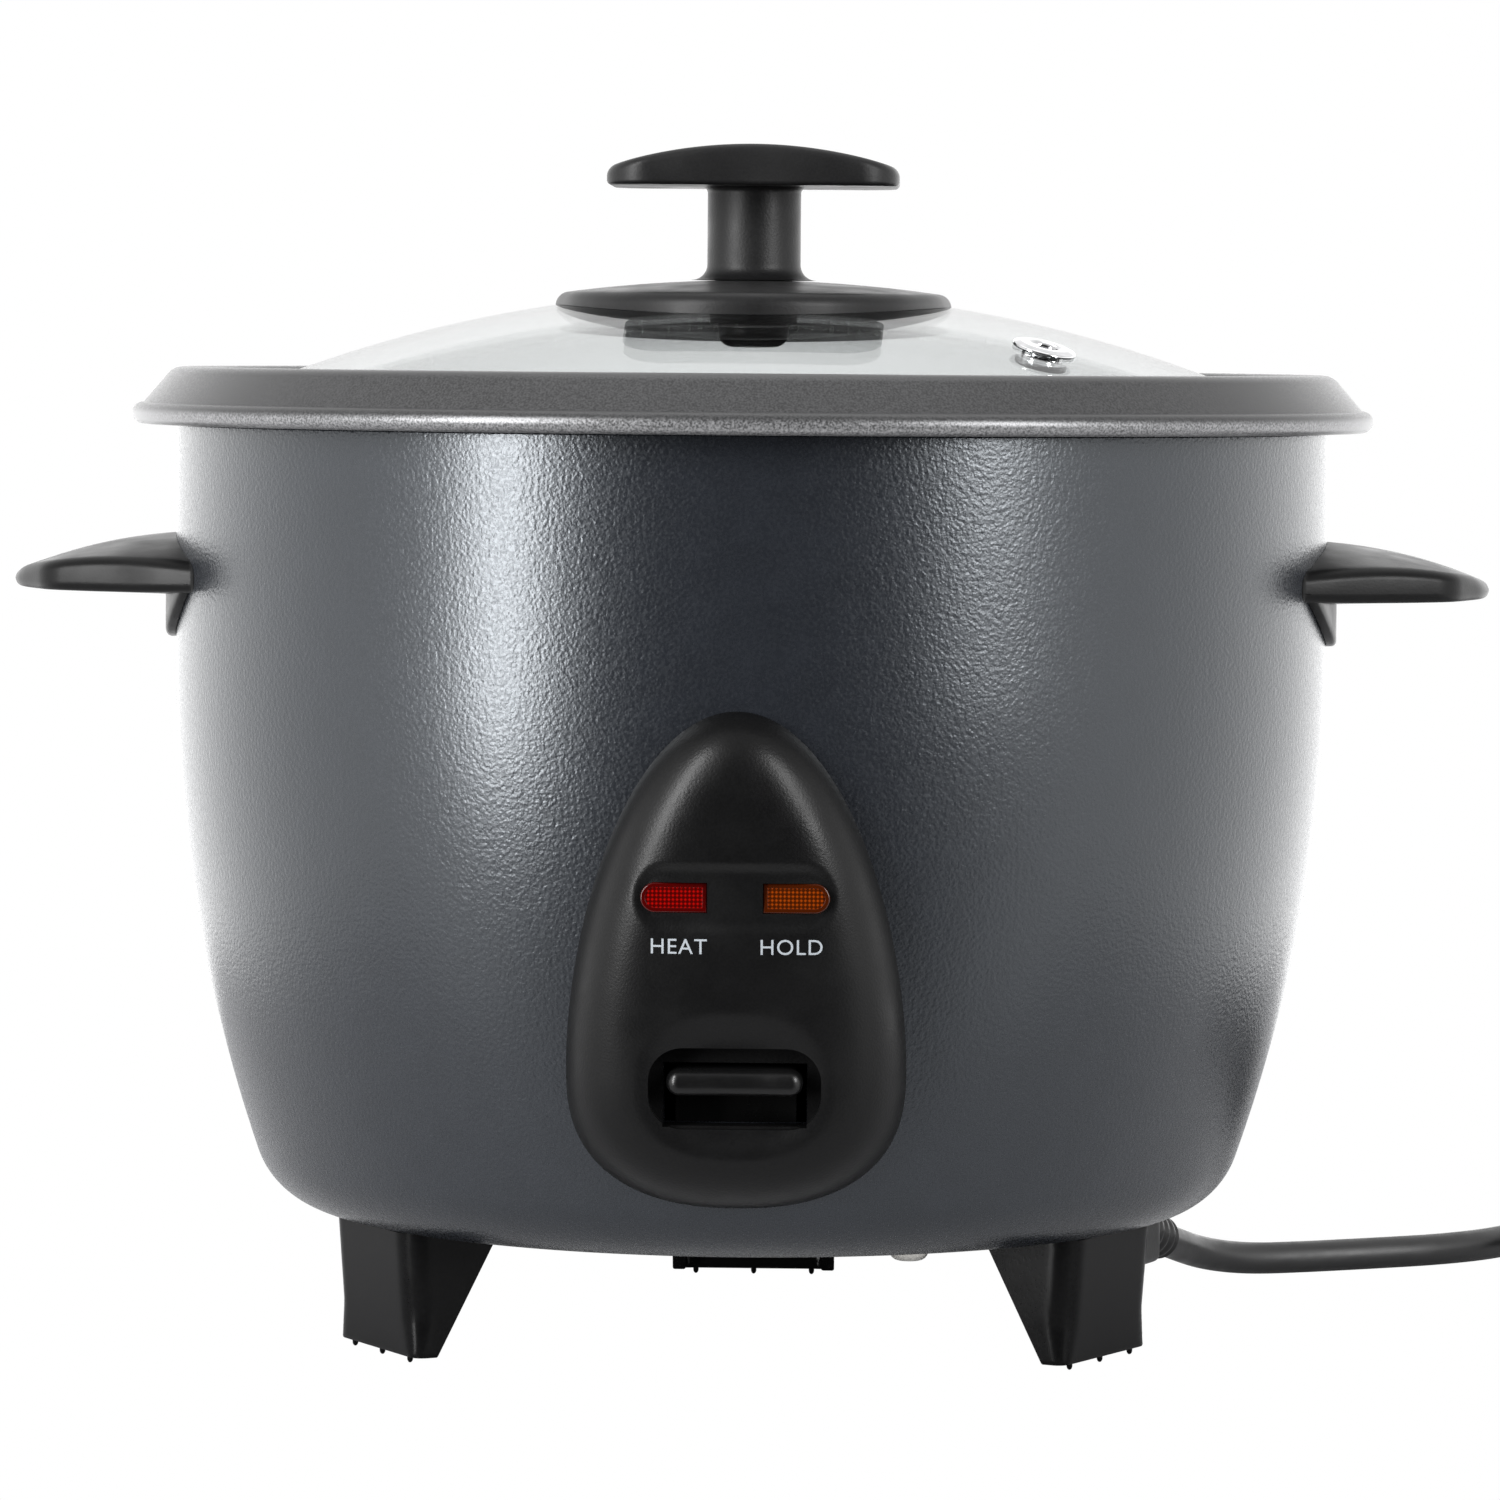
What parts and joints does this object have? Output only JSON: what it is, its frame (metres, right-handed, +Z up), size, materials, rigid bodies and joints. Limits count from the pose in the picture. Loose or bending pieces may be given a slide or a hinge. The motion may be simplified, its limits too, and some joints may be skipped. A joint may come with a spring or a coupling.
{
  "type": "rice cooker",
  "caption": "Round electric rice cooker with a tapering painted body, lift-out pot, glass lid with knob, side handles, press-down lever, lamps and mains lead.",
  "frame": {"origin": "on the table under the middle of the body", "axes": "+Z up, the front with the lever faces -Y, +X to the right seen from the front, along the handles"},
  "size_m": [0.4057, 0.2994, 0.2257],
  "materials": {
    "shell_paint": "hammered anthracite paint",
    "sheet_steel": "galvanised sheet",
    "screw_steel": "plated screws",
    "spring_steel": "spring wire",
    "cast_aluminium": "machined casting",
    "element_steel": "heat-tinted tube",
    "magnet_iron": "sintered magnet",
    "pot_coat": "satin dark-grey coating",
    "lid_glass": "clear tempered glass",
    "lamp_glass": "clear bulb",
    "rim_steel": "rolled stainless band",
    "bright_chrome": "polished",
    "knob_plastic": "fine-grained black moulding",
    "knob_fixing": "black",
    "panel_plastic": "fine-grained black moulding",
    "lever_plastic": "satin black",
    "foot_plastic": "smooth black moulding",
    "red_lens": "clear red",
    "amber_lens": "clear amber",
    "pale_plastic": "heat-proof moulding",
    "cord_rubber": "soft black sheath",
    "plug_plastic": "moulded black"
  },
  "bodies": {
    "housing": {"outer_shell": "shell_paint", "base_plate": "sheet_steel", "base_screws": "screw_steel", "foot_screws": "screw_steel", "handle_screws": "screw_steel", "panel_screws": "screw_steel", "heat_shield": "sheet_steel", "heater_plate": "cast_aluminium", "heating_element": "element_steel", "heater_posts": "cast_aluminium", "heater_screws": "screw_steel", "thermostat_sleeve": "cast_aluminium", "thermostat_spring": "spring_steel", "control_panel": "panel_plastic", "cook_lens": "red_lens", "warm_lens": "amber_lens", "lamp_holder": "pale_plastic", "cook_lamp": "lamp_glass", "warm_lamp": "lamp_glass", "lever_pin": "screw_steel", "switch_bracket": "sheet_steel", "lever_spring": "spring_steel", "contact_switch": "pale_plastic", "terminal_block": "pale_plastic", "thermal_fuse": "pale_plastic", "fuse_clip": "sheet_steel", "cord_gland": "foot_plastic", "power_cord": "cord_rubber", "cord_coil": "cord_rubber", "plug_body": "plug_plastic", "plug_pins": "bright_chrome", "foot_front_left": "foot_plastic", "foot_front_right": "foot_plastic", "foot_rear": "foot_plastic", "handle_left": "knob_plastic", "handle_right": "knob_plastic"},
    "pot": {"inner_pot": "pot_coat"},
    "lid": {"lid_glass": "lid_glass", "lid_rim": "rim_steel", "vent_eyelet": "bright_chrome", "knob_base": "knob_plastic", "knob_grip": "knob_plastic", "knob_washer": "knob_fixing", "knob_screw": "knob_fixing"},
    "lever": {"switch_lever": "lever_plastic"},
    "plunger": {"magnet_plunger": "magnet_iron"},
    "sensor": {"thermostat_cup": "cast_aluminium", "upper_magnet": "magnet_iron"}
  },
  "joints": [
    {"name": "pot_lift", "type": "slide", "parent": "housing", "child": "pot", "axis": [0, 0, 1], "range_m": [0, 0.12]},
    {"name": "lid_lift", "type": "slide", "parent": "pot", "child": "lid", "axis": [0, 0, 1], "range_m": [0, 0.1]},
    {"name": "lever_press", "type": "hinge", "parent": "housing", "child": "lever", "pos_m": [0, -0.055, 0.046], "axis": [1, 0, 0], "range_deg": [0, 5.3], "stiffness_Nm_per_rad": 0.8, "springref_deg": -5.73, "deforming": ["lever_spring"]},
    {"name": "plunger_rise", "type": "slide", "parent": "housing", "child": "plunger", "axis": [0, 0, 1], "range_m": [0, 0.0055]},
    {"name": "sensor_press", "type": "slide", "parent": "housing", "child": "sensor", "axis": [0, 0, 1], "range_m": [-0.002, 0], "stiffness_N_per_m": 400, "springref_m": 0.004, "deforming": ["thermostat_spring"]}
  ],
  "couplings": [
    {"joint": "plunger_rise", "follows": "lever_press", "m_per_rad": 0.055}
  ]
}
